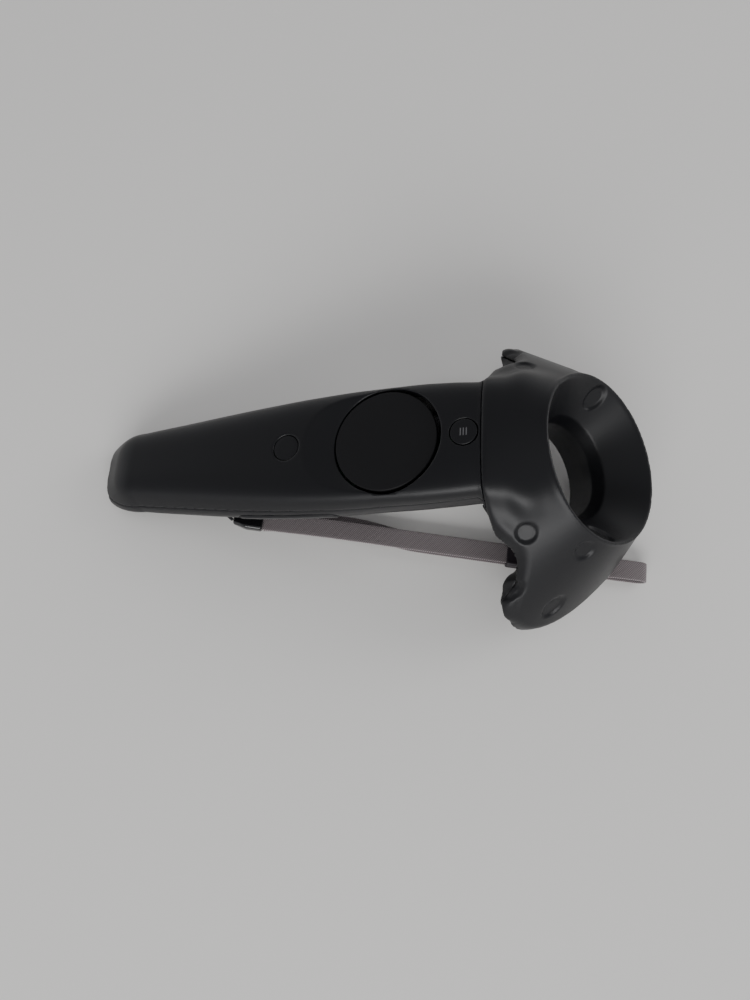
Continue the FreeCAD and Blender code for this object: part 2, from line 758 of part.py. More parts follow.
# Middle of the doubled strap, as (along, height): out of the crimp, through the slider, round
# the fold at the loop's end and back over itself.
STRAP_ROUTE = [
    (13.6, 1.5), (30.0, 0.75), (52.0, 0.7), (70.0, 1.5), (77.0, LOWER_LAYER),
    (128.0, LOWER_LAYER), (136.0, 0.45), (153.0, 0.45), (164.5, 0.6), (171.0, 0.95),
    (172.4, 4.8), (166.0, 5.4), (158.0, 4.6), (151.5, 1.35), (141.5, 1.35), (132.0, UPPER_LAYER),
    (77.0, UPPER_LAYER), (70.0, 4.6), (52.0, 5.1), (32.0, 4.6), (22.0, 3.4), (13.6, 3.1),
]
# The thin cord from the crimp to the post under the tail and back, as (along, across, height).
CORD_ROUTE = [
    (0.4, 1.1, 2.3), (-4.0, 4.0, 1.5), (-10.0, 8.5, 1.7), (-16.0, 12.7, 2.8), (-21.0, 15.0, 3.9),
    (-25.9, 15.3, 4.2), (-28.0, 15.0, 4.2), (-28.6, 13.3, 4.2), (-28.0, 11.6, 4.2),
    (-25.9, 11.3, 4.2), (-21.0, 11.6, 3.9), (-16.0, 10.4, 2.8), (-10.0, 6.5, 1.7),
    (-4.0, 1.9, 1.5), (0.4, -1.1, 2.3),
]


def rounded_route(points):
    """Straight runs joined by tangent arcs, each as large as its two runs allow."""
    edges, radii = [], []
    start = points[0]
    for before, corner, after in zip(points, points[1:], points[2:]):
        back, ahead = (before - corner), (after - corner)
        reach = 0.45 * min(back.Length, ahead.Length)
        half_turn = (math.pi - back.getAngle(ahead)) / 2
        radius = reach / math.tan(half_turn)
        radii.append(round(radius, 1))
        back.normalize()
        ahead.normalize()
        inward = (back + ahead).normalize()
        leave, rejoin = corner + back * reach, corner + ahead * reach
        middle = corner + inward * (radius / math.cos(half_turn) - radius)
        edges.append(Part.LineSegment(start, leave).toShape())
        edges.append(Part.Arc(leave, middle, rejoin).toShape())
        start = rejoin
    edges.append(Part.LineSegment(start, points[-1]).toShape())
    return Part.Wire(edges), radii


def swept(label, route, profile, area):
    """Sweep a profile, drawn about the origin with Z ahead, along a route; keep it as a node."""
    path, radii = rounded_route(route)
    ahead = (route[1] - route[0]).normalize()
    side = Vector(0, 1, 0)
    up = ahead.cross(side).normalize()
    placed = profile.copy()
    placed.Placement = Placement(route[0], Rotation(up.cross(ahead), up, ahead, "ZYX"))
    pipe = Part.BRepOffsetAPI.MakePipeShell(path)
    pipe.add(placed)
    pipe.setTransitionMode(1)
    pipe.build()
    pipe.makeSolid()
    solid = pipe.shape()
    wanted = area * path.Length
    print(f"{label}: {path.Length:.1f} mm long, radii {radii}, volume {solid.Volume:.0f} of {wanted:.0f}")
    assert abs(solid.Volume - wanted) < 0.03 * wanted, f"{label}: the sweep's volume is off"
    return keep(shape_object(label, solid), label, "strap")


half_wide, half_thick = size("strap_wide") / 2, size("strap_thick") / 2
band = Part.makePolygon([
    Vector(-half_wide, -half_thick, 0), Vector(half_wide, -half_thick, 0),
    Vector(half_wide, half_thick, 0), Vector(-half_wide, half_thick, 0),
    Vector(-half_wide, -half_thick, 0),
])
swept("wrist_strap", [Vector(along, 0, height) for along, height in STRAP_ROUTE], band,
      4 * half_wide * half_thick)
cord_radius = size("cord_radius")
swept("lanyard_cord", [Vector(*point) for point in CORD_ROUTE],
      Part.Wire([Part.makeCircle(cord_radius)]), math.pi * cord_radius ** 2)

# The crimp: a moulded plug that tapers towards the cord.
crimp = doc.addObject("PartDesign::Body", "strap_crimp")
crimp_sketch = body_sketch(crimp, "XZ_Plane", f"-{CRIMP_HALF}")
draw_outline(crimp_sketch, [
    ("0.8", "0.9"), ("2.4", "0"), ("13.6", "0"), ("13.6", str(CRIMP_HIGH)), ("4", str(CRIMP_HIGH)),
    ("0.8", "3.6"),
])
pad(crimp, crimp_sketch, str(2 * CRIMP_HALF))
keep(crimp, "strap_crimp", "strap")

slider = cut("strap_slider",
             box("slider_block", str(SLIDER_AT), str(SLIDER_AT + SLIDER_LONG), str(SLIDER_HALF),
                 "0.15", str(SLIDER_HIGH)),
             combine("MultiFuse", "slider_slots", [
                 box(f"slider_slot_{i}", str(SLIDER_AT - 1), str(SLIDER_AT + SLIDER_LONG + 1),
                     "strap_wide / 2 + 0.2", f"{layer} - strap_thick / 2 - 0.15",
                     f"{layer} + strap_thick / 2 + 0.15")
                 for i, layer in enumerate((LOWER_LAYER, UPPER_LAYER))
             ]))
keep(slider, "strap_slider", "strap")

# --- Stand it on the table, check it and write it -------------------------------------------

doc.recompute()
broken = [thing.Name for thing in doc.Objects
          if {"Invalid", "Error"} & set(thing.State)]
assert not broken, f"these failed to build: {broken}"

turn = Rotation(Vector(0, 1, 0), -pitch)
resting = Placement(Vector(-size("tail_back"), 0, 0), turn)
lift = size("strap_lift") - min(
    thing.Shape.transformed(resting.toMatrix()).optimalBoundingBox(False, False).ZMin
    for thing, frame in nodes if frame != "strap"
)
resting.Base = Vector(-size("tail_back"), 0, lift)
for thing, frame in nodes:
    thing.Placement = strap_frame if frame == "strap" else resting

os.makedirs("parts", exist_ok=True)
whole = FreeCAD.BoundBox()
for thing, frame in nodes:
    shape = thing.Shape
    assert not shape.isNull() and shape.isValid() and shape.Solids, f"{thing.Label} isn't sound"
    assert shape.Volume > 0.5, f"{thing.Label} is almost empty"
    if frame != "strap":
        whole.add(shape.optimalBoundingBox(False, False))
    shape.exportStep(f"parts/{thing.Label}.step")
print(f"{len(nodes)} nodes, lifted {lift:.2f}, box {whole}")
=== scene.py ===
"""Looks of the motion controller: hollow shells, touch pad, buttons, trigger, strap and cord.

Shapes are given as fields in millimetres in the handle's own frame (x along the handle from its
tail, y across it, z out of its face), negative inside, and turned into meshes in the row frame.
"""

import math

import bpy
import numpy as np
from mathutils import Matrix, Vector


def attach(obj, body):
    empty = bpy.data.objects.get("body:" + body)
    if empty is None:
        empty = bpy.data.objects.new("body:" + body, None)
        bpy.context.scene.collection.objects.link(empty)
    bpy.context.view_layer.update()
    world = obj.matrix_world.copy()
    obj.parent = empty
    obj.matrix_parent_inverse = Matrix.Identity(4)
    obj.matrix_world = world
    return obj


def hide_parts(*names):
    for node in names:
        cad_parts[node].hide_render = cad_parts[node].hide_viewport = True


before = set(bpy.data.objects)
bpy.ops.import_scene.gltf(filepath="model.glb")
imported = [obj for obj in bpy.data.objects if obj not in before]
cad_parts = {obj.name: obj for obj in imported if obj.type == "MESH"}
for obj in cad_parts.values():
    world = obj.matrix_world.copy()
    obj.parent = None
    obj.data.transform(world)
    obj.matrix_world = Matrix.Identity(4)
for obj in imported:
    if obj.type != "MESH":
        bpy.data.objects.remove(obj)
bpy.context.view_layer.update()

# --- Frames ---------------------------------------------------------------------------------

PITCH = math.radians(19.3)
TAIL_BACK, LIFT = 110.9, 15.57
RING_TILT = math.radians(31.2)
RING_AHEAD, RING_DROP = 195.3, -33.1
STRAP_ORIGIN, STRAP_TURN = (-58.0, -15.5), math.radians(-5.0)
MM = 0.001


def to_row(points):
    """Handle frame in mm to row frame in metres."""
    p = np.asarray(points, float).reshape(-1, 3)
    c, s = math.cos(PITCH), math.sin(PITCH)
    x = p[:, 0] * c - p[:, 2] * s - TAIL_BACK
    z = p[:, 0] * s + p[:, 2] * c + LIFT
    return np.stack([x, p[:, 1], z], 1) * MM


def strap_to_row(points):
    """Strap frame in mm (along, across, height) to row frame in metres."""
    p = np.asarray(points, float).reshape(-1, 3)
    c, s = math.cos(STRAP_TURN), math.sin(STRAP_TURN)
    x = STRAP_ORIGIN[0] + p[:, 0] * c - p[:, 1] * s
    y = STRAP_ORIGIN[1] + p[:, 0] * s + p[:, 1] * c
    return np.stack([x, y, p[:, 2]], 1) * MM


def ring_coordinates(p):
    """(across, up, depth) in the ring's own frame, whose depth runs back through the hole."""
    c, s = math.cos(RING_TILT), math.sin(RING_TILT)
    x, z = p[:, 0] - RING_AHEAD, p[:, 2] - RING_DROP
    return -p[:, 1], -s * x + c * z, -c * x - s * z


def from_ring(u, v, t):
    """A point of the handle frame from across, up and depth in the ring's frame."""
    c, s = math.cos(RING_TILT), math.sin(RING_TILT)
    return np.array([RING_AHEAD - s * v - c * t, -u, RING_DROP + c * v - s * t])


# --- Fields ---------------------------------------------------------------------------------

def smooth_min(a, b, k):
    """The lesser of two fields, rounded over a width k where they meet."""
    h = np.clip(0.5 + 0.5 * (b - a) / k, 0, 1)
    return b + (a - b) * h - k * h * (1 - h)


def smooth_max(a, b, k):
    return -smooth_min(-a, -b, k)


def ease(x):
    x = np.clip(x, 0, 1)
    return x * x * (3 - 2 * x)


def curve_through(xs, ys):
    """A smooth curve through the points that never overshoots them."""
    xs, ys = np.asarray(xs, float), np.asarray(ys, float)
    step = np.diff(xs)
    rise = np.diff(ys) / step
    slope = np.zeros_like(xs)
    product = rise[:-1] * rise[1:]
    total = np.where(product > 0, rise[:-1] + rise[1:], 1.0)
    slope[1:-1] = np.where(product > 0, 2 * product / total, 0.0)
    slope[0], slope[-1] = rise[0], rise[-1]

    def at(x):
        i = np.clip(np.searchsorted(xs, x) - 1, 0, len(step) - 1)
        u = np.clip((x - xs[i]) / step[i], 0, 1)
        return ((2 * u**3 - 3 * u**2 + 1) * ys[i] + (u**3 - 2 * u**2 + u) * step[i] * slope[i]
                + (3 * u**2 - 2 * u**3) * ys[i + 1] + (u**3 - u**2) * step[i] * slope[i + 1])
    return at


# Stations along the handle and neck: x, half width, top, widest height, underside, face power.
HANDLE = np.array([
    (15.0, 15.0, -0.05, -12.0, -19.4, 3.7), (24.0, 16.0, 0.0, -12.2, -21.4, 3.7),
    (34.0, 17.0, 0.0, -12.2, -23.0, 3.7), (52.0, 18.9, 0.0, -12.0, -24.7, 3.8),
    (72.0, 20.7, 0.0, -11.5, -26.5, 4.0), (92.0, 22.1, 0.0, -10.8, -28.3, 4.2),
    (112.0, 22.8, 0.0, -10.0, -30.2, 4.2), (132.0, 22.8, 0.0, -9.3, -31.8, 4.0),
    (146.0, 22.3, -0.3, -9.0, -32.4, 3.7), (157.4, 21.6, -0.9, -9.4, -32.6, 3.4),
    (164.0, 22.0, -1.8, -11.2, -33.5, 3.1), (171.0, 24.6, -3.5, -14.2, -36.0, 2.8),
    (178.0, 22.0, -6.2, -18.0, -38.0, 2.6), (188.0, 16.0, -11.0, -22.0, -38.0, 2.4),
])
HALF_WIDE, TOP, WIDEST, UNDERSIDE, FACE_POWER = (
    curve_through(HANDLE[:, 0], HANDLE[:, i]) for i in range(1, 6))
UNDERSIDE_POWER, TAIL_POWER, TAIL_LONG = 2.25, 2.2, 16.0
# How far the flanks and the tail's end lean outwards below the face's rolled edge.
FLANK_LEAN = curve_through([15, 60, 95, 118, 140], [2.3, 2.2, 1.3, 0.4, 0.0])
TAIL_LEAN, TAIL_START = 7.5, 15.0


def handle_field(p):
    """The handle as one solid: a flattish arch over a deeper bowl, closed by a round tail."""
    x, y, z = p[:, 0], p[:, 1], p[:, 2]
    wide, top, middle, low = HALF_WIDE(x), TOP(x), WIDEST(x), UNDERSIDE(x)
    above = z > middle
    reach = np.where(above, top - middle, middle - low)
    power = np.where(above, FACE_POWER(x), UNDERSIDE_POWER)
    lean = ease((-2.5 - z) / 10)
    a, b = np.abs(y) / (wide + FLANK_LEAN(x) * lean), np.abs(z - middle) / reach
    section = (a**power + b**power + 1e-9) ** (1 / power)
    tail_long = TAIL_LONG + TAIL_LEAN * lean * (1 - ease((-12.5 - z) / 4))
    tail = np.clip((TAIL_START - x) / tail_long, 0, None)
    size = (section**TAIL_POWER + tail**TAIL_POWER) ** (1 / TAIL_POWER)
    radius = np.sqrt(y * y + (z - middle) ** 2 + (tail * TAIL_LONG) ** 2) + 1e-6
    return radius * (size - 1) / size


def polygon_distance(u, v, corners):
    """Signed distance in a plane from a closed outline, negative inside."""
    best = np.full(u.shape, 1e9)
    inside = np.zeros(u.shape, bool)
    for (x0, y0), (x1, y1) in zip(corners, np.roll(corners, -1, 0)):
        ex, ey = x1 - x0, y1 - y0
        along = np.clip(((u - x0) * ex + (v - y0) * ey) / (ex * ex + ey * ey), 0, 1)
        best = np.minimum(best, (u - x0 - along * ex) ** 2 + (v - y0 - along * ey) ** 2)
        crossing = (y0 > v) != (y1 > v)
        side = (x1 - x0) * (v - y0) / (y1 - y0 if y1 != y0 else 1e-9) + x0
        inside ^= crossing & (u < side)
    return np.sqrt(best) * np.where(inside, -1, 1)


def rounded_outline(corners, per_side=6):
    """A closed Catmull-Rom curve through the corners, as many short sides."""
    c = np.asarray(corners, float)
    out = []
    for i in range(len(c)):
        a, b, d, e = (c[(i + k) % len(c)] for k in (-1, 0, 1, 2))
        for t in np.arange(per_side) / per_side:
            out.append(0.5 * (2 * b + (d - a) * t + (2 * a - 5 * b + 4 * d - e) * t * t
                              + (3 * b - a - 3 * d + e) * t**3))
    return np.array(out)


WING = [(0, -36), (14, -34.8), (27, -32), (35, -29.6), (41, -25.7), (49, -20), (55, -13),
        (58.3, -5), (58.4, 2), (56, 8.5), (51.8, 12.6), (43, 18.6), (37.6, 23.6), (33.4, 30.6),
        (28, 37), (20, 42), (0, 45)]
OUTLINE = rounded_outline(WING + [(-u, v) for u, v in WING[-2:0:-1]], 3)
# The back shell is smaller than the front one's plate, which overhangs it in the notches.
BACK_OUTLINE = rounded_outline([
    (0, -36), (14, -34.8), (27, -32), (35, -29.6), (41, -25.7), (49, -20), (55, -13), (58.0, -5),
    (58.4, 2), (57.4, 9), (53.6, 14.4), (46.5, 16.2), (41.5, 14.8),
    (38.5, 11.5), (34, 12.5), (29, 20), (20, 31.5), (10, 37),
    (0, 38), (-10, 37)], 3)
LIP = 31.6
FUNNEL_DEPTHS = [-6.0, 0.0, 12.2, 12.9, 18.0, 22.0, 30.5, 45.0]
FUNNEL_RADII = [36.4, 31.2, 20.8, 20.2, 18.6, 19.2, 21.0, 24.0]
CONE_SLOPE = 0.744
BACK_FACE = curve_through([0.0, 21.0, 36.0, 48.0, 60.0, 80.0],
                          [29.5, 30.5, 32.5, 36.3, 40.0, 46.0])


def cone_distance(r, t):
    """Distance outwards from the swept cone on which the lip and the wings lie."""
    return (r - LIP - 0.4 - CONE_SLOPE * t) / math.hypot(1, CONE_SLOPE)


PLATE = 3.4


def plate_field(p):
    """The front plate: the cone's skin out to the wings' outline, with a bead round the lip."""
    u, v, t = ring_coordinates(p)
    r = np.hypot(u, v)
    cone = cone_distance(r, t)
    edge = polygon_distance(np.abs(u), v, OUTLINE)
    plate = smooth_max(smooth_max(smooth_max(cone, -t, 1.2), edge, 1.2), -cone - PLATE, 0.8)
    bead = np.hypot(r - LIP + 0.1, t - 0.5) - 0.95
    return smooth_min(plate, bead, 0.5)


def block_field(p):
    """The deep body of ring and wings behind the front plate."""
    u, v, t = ring_coordinates(p)
    r = np.hypot(u, v)
    edge = polygon_distance(np.abs(u), v, BACK_OUTLINE) + 0.4
    back = (t - BACK_FACE(r)) * 0.96
    front = smooth_max(cone_distance(r, t) + 0.6, 0.4 - t, 1.0)
    return smooth_max(smooth_max(front, edge, 1.8), back, 3.0)


# Dimples over the sensors: place in the ring's frame, on the cone or inside the funnel.
def on_cone(u, v):
    return from_ring(u, v, (math.hypot(u, v) - LIP - 0.4) / CONE_SLOPE)


DIMPLES = [side_point for u, v, raised in ((33.6, 25.4, 2.2), (35.6, 5.2, 0.0), (51.2, -3.6, 0.0))
           for side_point in (on_cone(u, v) + (0, 0, raised), on_cone(-u, v) + (0, 0, raised))]
DIMPLES += [from_ring(27.2, -3.6, 4.4), from_ring(-27.2, -3.6, 4.4)]
DIMPLES += [from_ring(side * u, v, t) for side in (1, -1) for u, v, t in (
    (48.5, 17.0, 31.0), (28.0, 9.0, 31.5), (14.0, -25.0, 31.4), (44.0, -13.0, 35.4))]
DIMPLE_RADIUS, DIMPLE_FLAT, DIMPLE_DEEP = 4.5, 2.9, 1.0
DISC_RAISED, DISC_EDGE = 0.16, 0.3
# How much of the distance along a dimple's axis is left out when its radius is measured.
DEPTH_LEFT_OUT = 0.8
BACK_DIMPLES_FROM = 25.0


def dimple_axis(place):
    """The way a dimple faces: square to the cone outside the lip, straight on inside it."""
    u, v, t = ring_coordinates(place[None])
    r = float(np.hypot(u, v)[0])
    if r < LIP or t[0] > BACK_DIMPLES_FROM:
        return from_ring(0.0, 0.0, 1.0) - from_ring(0.0, 0.0, 0.0)
    way = (from_ring(float(u[0]) / r, float(v[0]) / r, -CONE_SLOPE) - from_ring(0.0, 0.0, 0.0))
    return way / np.linalg.norm(way)


def dimple_depth(p):
    """How far the surface is pressed in at each point by the round sensor dimples."""
    depth = np.zeros(len(p))
    for place in DIMPLES:
        gap = p - place
        along = gap @ dimple_axis(place)
        away = np.sqrt(np.clip((gap**2).sum(1) - DEPTH_LEFT_OUT * along**2, 0, None))
        near = away < DIMPLE_RADIUS + 1
        ramp = ease((DIMPLE_RADIUS - away[near]) / (DIMPLE_RADIUS - DIMPLE_FLAT))
        step = DISC_RAISED * ease((DIMPLE_FLAT + DISC_EDGE / 2 - away[near]) / DISC_EDGE)
        depth[near] = np.maximum(depth[near], DIMPLE_DEEP * ramp - step)
    return depth


def head_field(p):
    """Ring, wings and neck, with the funnel-shaped hole and the dimples."""
    u, v, t = ring_coordinates(p)
    r = np.hypot(u, v)
    body = np.minimum(whole_body(p), block_field(p))
    hole = (np.interp(t, FUNNEL_DEPTHS, FUNNEL_RADII) - r) * 0.78
    return smooth_max(body, hole, 0.8) + dimple_depth(p)


def back_zone(p):
    """Negative where the back shell is: well under the cone, behind the front shell's skin."""
    u, v, t = ring_coordinates(p)
    r = np.hypot(u, v)
    behind = np.maximum(cone_distance(r, t) + PLATE + 1.0, 13.0 - t)
    return np.maximum(np.maximum(behind, 24.5 - r), -(handle_field(p) - 0.8))


SEAM, PARTING, WALL, GAP = 157.4, -8.5, 2.0, 0.06
PAD_AHEAD, PAD_RADIUS, PAD_FACE = 122.4, 19.3, -1.7
DISH_RADIUS, DISH_DEEP, DISH_AHEAD, DISH_FLOOR = 108.0, 3.25, 117.2, 2.4
DISH_CENTRE = np.array([DISH_AHEAD, 0.0, DISH_RADIUS - DISH_DEEP])
MENU_AHEAD, MENU_RADIUS, SYSTEM_AHEAD, SYSTEM_RADIUS = 151.4, 4.85, 83.5, 5.0
GRIP_AHEAD, GRIP_DROP, GRIP_LONG, GRIP_HIGH = 80.0, -15.0, 42.0, 7.0


def hollow(solid):
    """A shell of the wall's thickness."""
    return np.maximum(solid, -(solid + WALL))


def whole_body(p):
    """Handle and front plate as one skin, so that they meet flush at the seam."""
    ahead_of_seam = 14 * ease((SEAM + 2 - p[:, 0]) / 9)
    return smooth_min(handle_field(p), plate_field(p) + ahead_of_seam, 9.0)


def round_opening(p, ahead, radius, play=0.28):
    """Positive inside a round hole through the face, so that a maximum cuts it out."""
    return radius + play - np.hypot(p[:, 0] - ahead, p[:, 1])


def top_cover_field(p):
    skin = whole_body(p)
    dish = DISH_RADIUS - np.sqrt(((p - DISH_CENTRE) ** 2).sum(1))
    skin = smooth_max(skin, dish, 0.3)
    under_dish = ease((26 - np.abs(p[:, 0] - 120)) / 8)
    shell = np.maximum(skin, -(handle_field(p) + WALL + DISH_FLOOR * under_dish))
    for opening in (round_opening(p, PAD_AHEAD + 0.55, PAD_RADIUS, 1.15),
                    round_opening(p, MENU_AHEAD, MENU_RADIUS),
                    round_opening(p, SYSTEM_AHEAD, SYSTEM_RADIUS, 0.2)):
        shell = smooth_max(shell, opening, 0.35)
    shell = smooth_max(shell, p[:, 0] - SEAM + GAP, 0.2)
    return smooth_max(shell, PARTING + GAP - p[:, 2], 0.4)


def stadium(x, z, grow):
    """The outline of a grip button seen from its side, grown by an amount."""
    straight = (GRIP_LONG - GRIP_HIGH) / 2
    over = np.clip(np.abs(x - GRIP_AHEAD) - straight, 0, None)
    return np.hypot(over, z - GRIP_DROP) - GRIP_HIGH / 2 - grow


def recess_field(p):
    """The strap's recess under the tail, level with the table."""
    row = to_row(p) / MM
    return np.maximum(np.maximum(np.abs(row[:, 0] + 78) - 10, np.abs(row[:, 1]) - 5),
                      row[:, 2] - 5.6)


def bottom_shell_field(p):
    x, y, z = p.T
    shell = hollow(whole_body(p))
    housing = np.maximum(recess_field(p) - 1.4, handle_field(p))
    shell = np.minimum(shell, housing)
    shell = smooth_max(shell, -recess_field(p), 0.4)
    grip = np.maximum(-stadium(x, z, 0.25), 5 - np.abs(y))
    shell = smooth_max(shell, grip, 0.35)
    slot = np.maximum(np.maximum(np.abs(x - 139.7) - 13.9, np.abs(y) - 10), z + 20)
    shell = smooth_max(shell, -slot, 0.5)
    socket = np.maximum(np.maximum(np.abs(z + 11.15) - 1.75, np.abs(y) - 4.3), x - 7)
    shell = smooth_max(shell, -socket, 0.5)
    shell = smooth_max(shell, x - SEAM + GAP, 0.2)
    return smooth_max(shell, z - PARTING + GAP, 0.5)


def front_shell_field(p):
    solid = head_field(p)
    shell = smooth_max(hollow(solid), -back_zone(p), 0.5)
    return smooth_max(shell, SEAM + GAP - p[:, 0], 0.2)


def back_shell_field(p):
    solid = head_field(p) + 0.45
    return smooth_max(np.maximum(solid, -(solid + WALL)), back_zone(p) + 0.2, 0.3)


def grip_button_field(side):
    def field(p):
        proud = handle_field(p) - 0.45
        plate = smooth_max(proud, stadium(p[:, 0], p[:, 2], -0.05), 1.2)
        core = -(handle_field(p) + 2.4)
        return np.maximum(np.maximum(plate, core), 5 - side * p[:, 1])
    return field


# The trigger in profile: (ahead, height) in the handle frame.
LEVER = np.array([(131.5, -28.2), (150.6, -28.2), (152.2, -31), (149.8, -38), (145.2, -44.5),
                  (139.5, -49.5), (136.6, -52), (134.2, -51), (132.2, -44), (131.2, -36)])


def trigger_field(p):
    x, y, z = p.T
    profile = polygon_distance(x, z, rounded_outline(LEVER, 4))
    narrowing = 1.6 * ease((-34 - z) / 16)
    lever = smooth_max(profile, np.abs(y) - 9.2 + narrowing, 3.0)
    hub = np.maximum(np.hypot(x - 147, z + 24) - 4, np.abs(y) - 5)
    stem = np.maximum(np.maximum(np.abs(x - 146.7) - 3.7, np.abs(z + 27) - 3), np.abs(y) - 5)
    solid = np.minimum(lever, np.minimum(hub, stem))
    return np.maximum(solid, 1.25 - np.hypot(x - 147, z + 24))


def crimp_field(p):
    """The glossy end piece of the strap, in the strap's frame: it tapers towards the cord."""
    x, y, z = p.T
    half = 4.3 - 1.5 * ease((7.5 - x) / 7)
    high = 2.25 - 0.75 * ease((6.5 - x) / 6)
    body = smooth_max(np.abs(y) - half, np.abs(z - high - 0.05) - high, 1.6)
    ends = smooth_max(0.8 - x, x - 13.6, 0.5)
    return smooth_max(body, ends, 1.2)


def slider_field(p):
    x, y, z = p.T
    block = smooth_max(smooth_max(np.abs(x - 118.25) - 3.25, np.abs(y) - 4.9, 1.2),
                       np.abs(z - 3.05) - 2.9, 1.4)
    for layer in (1.55, 4.55):
        slot = np.maximum(np.abs(y) - 4.2, np.abs(z - layer) - 0.6)
        block = smooth_max(block, -slot, 0.3)
    return block


# --- Meshes ---------------------------------------------------------------------------------

# Samples along each side of the blocks that are skipped or sampled whole, how far from the
# surface, in blocks, a block is still sampled, and the value that a skipped block gets.
BLOCK, BLOCK_REACH, FAR = 8, 1.35, 9.0
# Rounds in which the vertices move onto the surface, and the reach of its slope in mm.
SETTLE_ROUNDS, SLOPE_REACH = 3, 0.08


def sample(field, points, chunk=400000):
    """A field at many points, in chunks that bound the memory it takes."""
    return np.concatenate([field(points[i:i + chunk]) for i in range(0, len(points), chunk)])


def surface_net(field, low, high, step):
    """Vertices and quads of the surface where the field is zero, by naive surface nets."""
    low, high = np.asarray(low, float), np.asarray(high, float)
    blocks = np.ceil((high - low) / (step * BLOCK)).astype(int)
    grid = np.meshgrid(*[np.arange(n) for n in blocks], indexing="ij")
    which = np.stack(grid, -1).reshape(-1, 3)
    centres = low + (which + 0.5) * step * BLOCK
    coarse = sample(field, centres)
    near = np.abs(coarse) < step * BLOCK * BLOCK_REACH
    shape = blocks * BLOCK
    values = np.repeat(np.repeat(np.repeat(
        np.where(coarse < 0, -FAR, FAR).astype(np.float32).reshape(blocks),
        BLOCK, 0), BLOCK, 1), BLOCK, 2)
    offsets = np.stack(np.meshgrid(*[np.arange(BLOCK)] * 3, indexing="ij"), -1).reshape(-1, 3)
    cells = (which[near][:, None, :] * BLOCK + offsets[None]).reshape(-1, 3)
    values[cells[:, 0], cells[:, 1], cells[:, 2]] = sample(field, low + cells * step)
    inside = values < 0
    corners = [(i, j, k) for i in (0, 1) for j in (0, 1) for k in (0, 1)]
    n = shape - 1
    count = sum(inside[i:i + n[0], j:j + n[1], k:k + n[2]].astype(np.int8) for i, j, k in corners)
    mixed = np.argwhere((count > 0) & (count < 8))
    total, crossings = np.zeros((len(mixed), 3)), np.zeros(len(mixed))
    for a in corners:
        for axis in range(3):
            if a[axis]:
                continue
            b = tuple(v + (d == axis) for d, v in enumerate(a))
            ca, cb = mixed + a, mixed + b
            fa, fb = values[tuple(ca.T)].astype(float), values[tuple(cb.T)].astype(float)
            cross = (fa < 0) != (fb < 0)
            share = np.where(cross, fa / np.where(cross, fa - fb, 1), 0)
            total += np.where(cross[:, None], ca + share[:, None] * (cb - ca), 0)
            crossings += cross
    vertices = low + total / crossings[:, None] * step
    index = np.full(tuple(n), -1, np.int32)
    index[tuple(mixed.T)] = np.arange(len(mixed))
    quads = []
    for axis in range(3):
        one, two = [d for d in range(3) if d != axis]
        a = [slice(1, -1)] * 3
        b = [slice(1, -1)] * 3
        a[axis], b[axis] = slice(0, -1), slice(1, None)
        first, second = inside[tuple(a)], inside[tuple(b)]
        edges = np.argwhere(first != second)
        starts_inside = first[tuple(edges.T)]
        edges[:, one] += 1
        edges[:, two] += 1
        around = []
        for d1, d2 in ((-1, -1), (0, -1), (0, 0), (-1, 0)):
            cell = edges.copy()
            cell[:, one] += d1
            cell[:, two] += d2
            around.append(index[tuple(cell.T)])
        quad = np.stack(around, 1)
        flip = starts_inside == (axis == 1)
        quad[flip] = quad[flip][:, ::-1]
        quads.append(quad)
    quads = np.concatenate(quads)
    quads = quads[(quads >= 0).all(1)]
    for _ in range(SETTLE_ROUNDS):
        value = sample(field, vertices)
        slope = np.stack([
            sample(field, vertices + d) - sample(field, vertices - d)
            for d in np.eye(3) * SLOPE_REACH], 1) / (2 * SLOPE_REACH)
        move = value / np.clip((slope**2).sum(1), 0.2, None)
        vertices = vertices - np.clip(move, -step / 2, step / 2)[:, None] * slope
    return vertices, quads


def new_piece(name, points, faces, body, finish, replaces=(), smooth=True):
    """A piece from row-frame points; it rides on a body and may stand for CAD nodes."""
    mesh = bpy.data.meshes.new(name)
    mesh.from_pydata([], [], [])
    points, faces = np.asarray(points, np.float32), [list(map(int, f)) for f in faces]
    mesh.from_pydata(points.tolist(), [], faces)
    mesh.validate()
    mesh.polygons.foreach_set("use_smooth", [smooth] * len(mesh.polygons))
    mesh.materials.append(finish)
    thing = bpy.data.objects.new(name, mesh)
    bpy.context.scene.collection.objects.link(thing)
    if replaces:
        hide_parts(*replaces)
    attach(thing, body)
    return thing


def carved(name, field, low, high, step, body, finish, place=to_row):
    """A piece from a field, sampled in a box of its frame."""
    vertices, quads = surface_net(field, low, high, step)
    return new_piece(name, place(vertices), quads, body, finish, [name])


def turned(name, profile, ahead, body, finish, node, sides=96):
    """A disc from a profile of (radius, height), turned about the handle's z at a place ahead."""
    angles = np.linspace(0, 2 * math.pi, sides, endpoint=False)
    ring = np.stack([np.cos(angles), np.sin(angles)], 1)
    points, faces = [], []
    for radius, height in profile:
        points += [(ahead + radius * c, radius * s, height) for c, s in ring]
    for k in range(len(profile) - 1):
        for i in range(sides):
            j = (i + 1) % sides
            faces.append((k * sides + i, k * sides + j, (k + 1) * sides + j, (k + 1) * sides + i))
    faces.append([(len(profile) - 1) * sides + i for i in range(sides)])
    faces.append(list(range(sides))[::-1])
    return new_piece(name, to_row(points), faces, body, finish, [node])


# --- Materials ------------------------------------------------------------------------------

